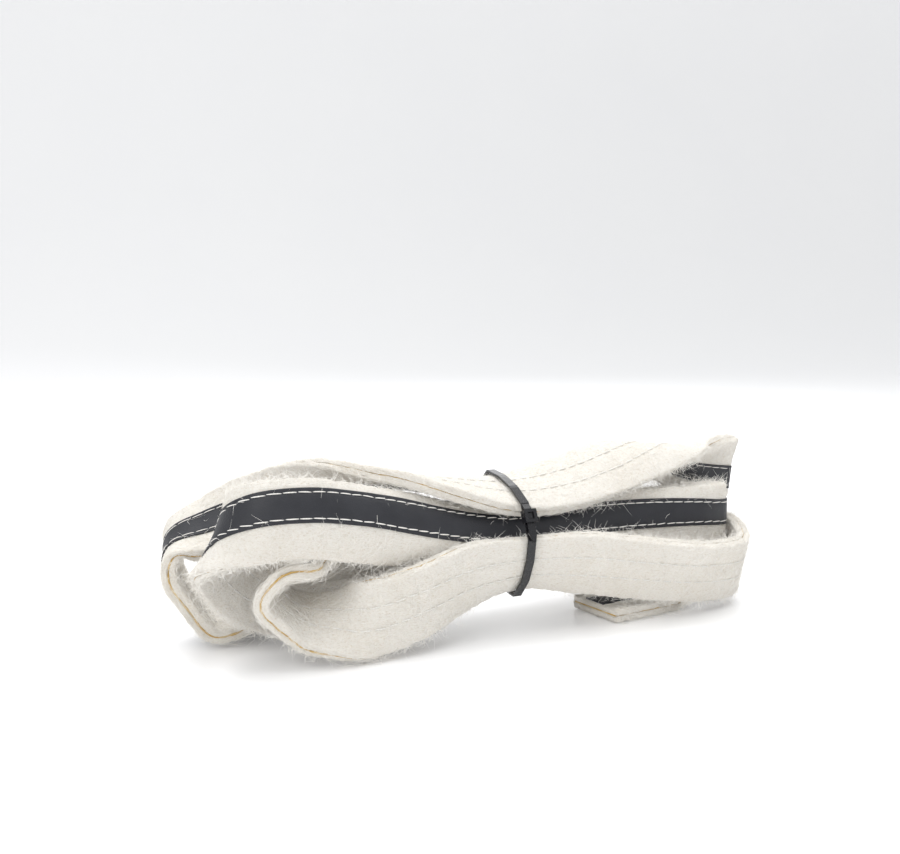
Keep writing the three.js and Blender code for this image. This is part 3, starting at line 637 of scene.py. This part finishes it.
def fibres(name, sign, count, mean_length, width, material, seed):
    """Loose fibres: each a bent three-sided spike from the felt's skin. About two in five root along
    the two cut edges and lean outward; the rest lie almost flat in every direction."""
    rng = np.random.default_rng(seed)
    t = rng.uniform(1, strap_length() - 1, count)
    on_edge = rng.random(count) < EDGE_SHARE
    place = rng.uniform(-0.5, 0.5, count) * width
    place = np.where(on_edge, np.sign(place) * (width / 2 - rng.uniform(0, 1.0, count)), place)
    low = np.where(on_edge, FELT_IN + (FELT_OUT - FELT_IN) * rng.random(count), FELT_OUT)
    heading = rng.uniform(0, 2 * np.pi, count)
    size = mean_length * np.clip(rng.gamma(3.0, 0.33, count), 0.25, 2.6)
    size = np.where(rng.random(count) < pressed(t, width), 0.25 * size, size)
    rise = np.where(on_edge, rng.normal(0.1, 0.4, count), np.abs(rng.normal(0.16, 0.20, count)))
    steps = np.array([0.0, 0.5, 1.0])
    bend = rng.normal(0, 0.9, count)
    turn = heading[:, None] + bend[:, None] * steps
    reach = size[:, None] * steps
    outwards = np.sign(place)[:, None] * np.abs(np.sin(turn)) * 0.8
    sideways = np.where(on_edge[:, None], outwards, np.sin(turn))
    length = t[:, None] + reach * np.cos(turn)
    across = place[:, None] + reach * sideways
    height = low[:, None] + reach * rise[:, None] * (1.3 - 0.5 * steps)
    if sign > 0:
        covered = np.abs(place - strap_shift(t)) < 8.8
        height = height + np.where(covered[:, None], 1.1, 0.0)
        keep = ~covered | (rng.random(count) < 0.012)
    else:
        keep = np.ones(count, bool)
    length, across, height = length[keep], across[keep], height[keep]
    length = np.clip(length, 0.1, strap_length() - 0.1)
    spine = strap_points(length, across, sign * height, width)
    spine[..., 2] = np.maximum(spine[..., 2], 0.0002)
    along = np.gradient(spine, axis=1)
    along /= np.linalg.norm(along, axis=2)[..., None] + 1e-12
    other = np.cross(along, [0.31, 0.27, 0.91])
    other /= np.linalg.norm(other, axis=2)[..., None] + 1e-12
    third = np.cross(along, other)
    thick = FIBRE_RADIUS * np.array([1.0, 0.8, 0.2])[None, :, None]
    corners = [other * math.cos(a) + third * math.sin(a) for a in (0, 2.094, 4.189)]
    points = np.stack([spine + thick * c for c in corners], 2)
    rows, columns = 3, 3
    quads, caps = grid_faces(rows, columns)
    shift = (np.arange(len(points)) * rows * columns)[:, None, None]
    faces = (quads[None] + shift).reshape(-1, 4).tolist()
    faces += (np.array(caps)[None] + shift).reshape(-1, columns).tolist()
    return make_piece(name, points, faces, material, None, False)


def settle(piece, *nodes, slot=None):
    """Makes a piece ride with the hank and stand for its CAD nodes."""
    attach(piece, "hank")
    if nodes:
        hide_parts(*nodes)


def sizes():
    return bpy.context.scene.belt_sizes


def colours():
    return bpy.context.scene.belt_colours


# ---- operators ----


class BELT_OT_felt(bpy.types.Operator):
    """Build both felt layers with their loose fibres"""

    bl_idname = "belt.felt"
    bl_label = "Felt layers"

    def execute(self, context):
        width = sizes().width * 1000
        felt = felt_material(colours())
        loose = fibre_material(colours())
        flat = (sizes().width, strap_length() / 1000)
        count = sizes().fuzz_count
        mean = sizes().fuzz_length * 1000
        for name, sign, node, seed in FELT_LAYERS:
            layer = felt_layer("felt_" + name, sign, width, felt)
            settle(layer, node, slot=node)
            for part in range(FUZZ_PIECES):
                tuft = fibres(f"fuzz_{name}_{part + 1}", sign, count, mean, width, loose, seed + 10 * part)
                settle(tuft, slot=node)
        return {"FINISHED"}


class BELT_OT_glue(bpy.types.Operator):
    """Build the glue line between the felt layers"""

    bl_idname = "belt.glue"
    bl_label = "Glue line"

    def execute(self, context):
        core = glue_core(sizes().width * 1000, glue_material(colours()))
        settle(core, "adhesive_core", slot="adhesive_core")
        return {"FINISHED"}


class BELT_OT_stripe(bpy.types.Operator):
    """Build the leatherette stripe"""

    bl_idname = "belt.stripe"
    bl_label = "Centre stripe"

    def execute(self, context):
        width = sizes().width * 1000
        strip = stripe_strip(width, sizes().stripe_width * 1000, leatherette_material(colours()))
        settle(strip, "centre_stripe", slot="centre_stripe")
        strap_length() / 1000
        return {"FINISHED"}


class BELT_OT_stitches(bpy.types.Operator):
    """Build the four rows of stitches"""

    bl_idname = "belt.stitches"
    bl_label = "Stitches"

    def execute(self, context):
        thread = thread_material(colours())
        pitch = sizes().stitch_pitch * 1000
        width = sizes().width * 1000
        for level, side in (("upper", 1), ("lower", -1)):
            for kind, face in (("needle", 1), ("bobbin", -1)):
                node = level + "_" + kind + "_thread"
                row = stitch_row(level + "_" + kind + "_stitches", side, face, pitch, width, thread)
                settle(row, node, slot=node)
        return {"FINISHED"}


class BELT_OT_tie(bpy.types.Operator):
    """Give the cable tie and its pawl their nylon"""

    bl_idname = "belt.tie"
    bl_label = "Cable tie"

    def execute(self, context):
        nylon = nylon_material(colours())
        for name in ("cable_tie", "tie_pawl"):
            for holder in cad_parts[name].material_slots:
                holder.material = nylon
        return {"FINISHED"}


def sweep_backdrop():
    """A board that runs back level, then rises on a quarter circle: its profile carried along X."""
    turn = np.linspace(0, np.pi / 2, 24)
    y = np.concatenate([[-3.0, -0.5, 1.2], 1.6 + 1.2 * np.sin(turn), [2.8]])
    z = np.concatenate([[0.0, 0.0, 0.0], 1.2 - 1.2 * np.cos(turn), [4.0]])
    x = np.linspace(-4.0, 4.0, 9)
    points = np.stack([x[:, None] + 0 * y, y + 0 * x[:, None], z + 0 * x[:, None]], -1)
    rows, columns = points.shape[:2]
    r, c = np.arange(rows - 1)[:, None], np.arange(columns - 1)[None, :]
    near, far = r * columns + c, (r + 1) * columns + c
    quads = np.stack([near, far, far + 1, near + 1], -1)
    return make_piece("backdrop", points, quads.reshape(-1, 4).tolist(), backdrop_material())


def add_lamp(name, place, size, power, aim=(0, 0, 0.05)):
    data = bpy.data.lights.new(name, "AREA")
    data.shape = "RECTANGLE"
    data.size, data.size_y = size
    data.energy = power
    lamp = bpy.data.objects.new(name, data)
    lamp.location = place
    lamp.rotation_euler = (Vector(aim) - Vector(place)).to_track_quat("-Z", "Y").to_euler()
    bpy.context.scene.collection.objects.link(lamp)


def add_camera():
    """A 46 mm lens, a little left of the hank's front and seven degrees down."""
    azimuth, pitch, reach, height = math.radians(-25), math.radians(7), 640.0, 197.0
    place = np.array([math.sin(azimuth) * reach, -math.cos(azimuth) * reach, height])
    place = (place + HANK_OFFSET) / 1000
    data = bpy.data.cameras.new("studio_camera")
    data.lens = 46.0
    data.sensor_width = 36.0
    data.clip_end = 50
    camera = bpy.data.objects.new("studio_camera", data)
    camera.rotation_euler = (math.pi / 2 - pitch, 0, azimuth)
    camera.location = place
    bpy.context.scene.collection.objects.link(camera)
    bpy.context.scene.camera = camera


class BELT_OT_stage(bpy.types.Operator):
    """Set the white board, the soft lights and the camera"""

    bl_idname = "belt.stage"
    bl_label = "Stage"

    def execute(self, context):
        sweep_backdrop()
        world = bpy.data.worlds.new("studio")
        world.use_nodes = True
        world.node_tree.nodes["Background"].inputs["Color"].default_value = (0.98, 0.99, 1.0, 1)
        world.node_tree.nodes["Background"].inputs["Strength"].default_value = 0.75
        context.scene.world = world
        context.scene.view_settings.view_transform = "Standard"
        add_lamp("softbox_top", (0.1, 0.1, 1.3), (1.4, 1.1), 13.0)
        add_lamp("softbox_left", (-1.1, -0.8, 0.9), (0.9, 0.9), 7.0)
        add_lamp("softbox_back", (0.5, 1.2, 0.9), (1.2, 0.7), 6.0)
        add_camera()
        return {"FINISHED"}


class BELT_PT_panel(bpy.types.Panel):
    """The belt's sizes, colours and building steps"""

    bl_idname = "BELT_PT_panel"
    bl_label = "Belt"
    bl_space_type = "VIEW_3D"
    bl_region_type = "UI"
    bl_category = "Belt"

    def draw(self, context):
        for group in (context.scene.belt_sizes, context.scene.belt_colours):
            for name in group.bl_rna.properties.keys():
                if name not in ("rna_type", "name"):
                    self.layout.prop(group, name)
        for step in STEPS:
            self.layout.operator("belt." + step)


STEPS = ("felt", "glue", "stripe", "stitches", "tie", "stage")
CLASSES = (
    BeltSizes, BeltColours, BELT_OT_felt, BELT_OT_glue, BELT_OT_stripe, BELT_OT_stitches, BELT_OT_tie,
    BELT_OT_stage, BELT_PT_panel,
)


def register():
    for item in CLASSES:
        bpy.utils.register_class(item)
    bpy.types.Scene.belt_sizes = bpy.props.PointerProperty(type=BeltSizes)
    bpy.types.Scene.belt_colours = bpy.props.PointerProperty(type=BeltColours)


def unregister():
    del bpy.types.Scene.belt_sizes
    del bpy.types.Scene.belt_colours
    for item in reversed(CLASSES):
        bpy.utils.unregister_class(item)


def main():
    register()
    for step in STEPS:
        getattr(bpy.ops.belt, step)()


if __name__ == "__main__":
    main()
